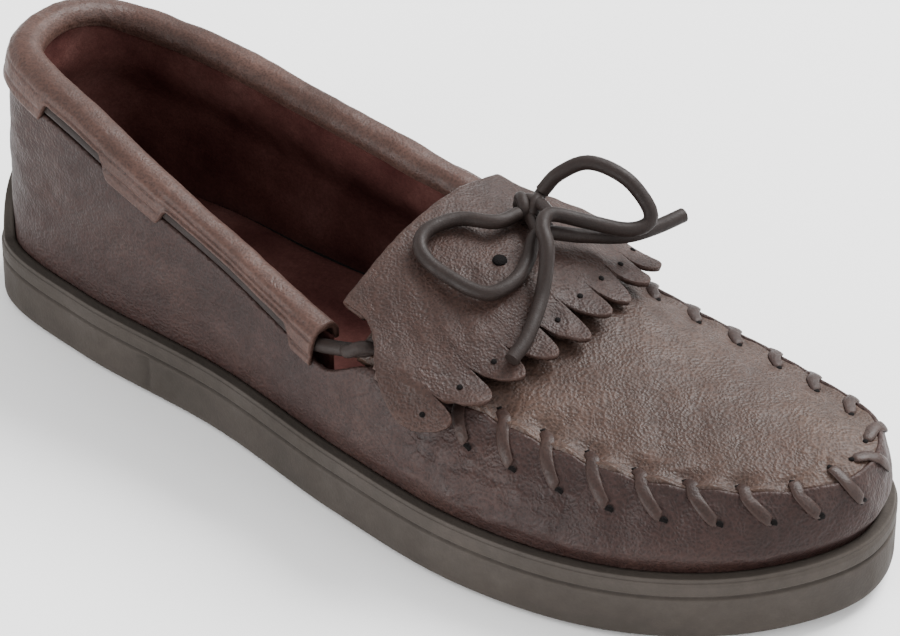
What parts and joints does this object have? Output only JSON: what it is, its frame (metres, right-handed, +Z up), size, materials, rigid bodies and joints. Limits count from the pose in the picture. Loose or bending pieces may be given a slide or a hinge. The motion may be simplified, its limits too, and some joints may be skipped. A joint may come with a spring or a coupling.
{
  "type": "moccasin",
  "caption": "Slip-on leather moccasin for the right foot: cup sole, laced apron toe, rolled collar with a lace in it, fringed instep flap and a bow.",
  "frame": {"origin": "on the flat tread, under the middle of the sole's length", "axes": "+X to the toe, +Y to the inner side of the foot, +Z up out of the tread"},
  "size_m": [0.267, 0.0955, 0.0792],
  "materials": {
    "sole_rubber": "matt moulded",
    "upper_leather": "pebbled, waxy",
    "collar_leather": "smooth, folded",
    "apron_leather": "pebbled, rubbed",
    "flap_leather": "pebbled",
    "lace_leather": "matt cord",
    "lining": "brushed",
    "board": "fibre board",
    "foam": "open foam"
  },
  "bodies": {
    "shoe": {"outsole": "sole_rubber", "leather_wrap": "upper_leather", "insole_board": "board", "footbed_foam": "foam", "sock_lining": "lining", "quarter_lining": "lining", "vamp_lining": "lining", "heel_counter": "board", "collar_foam": "foam", "collar_cuff": "collar_leather", "apron": "apron_leather", "apron_lining": "lining", "tongue": "upper_leather", "toe_lacing": "apron_leather", "collar_lace": "lace_leather"},
    "flap": {"kiltie": "flap_leather", "bow_knot": "lace_leather", "bow_outer": "lace_leather", "bow_inner": "lace_leather"}
  },
  "joints": [
    {"name": "flap_lift", "type": "hinge", "parent": "shoe", "child": "flap", "pos_m": [0.0025, 0, 0.0617], "axis": [0, -1, 0], "range_deg": [0, 22]}
  ]
}
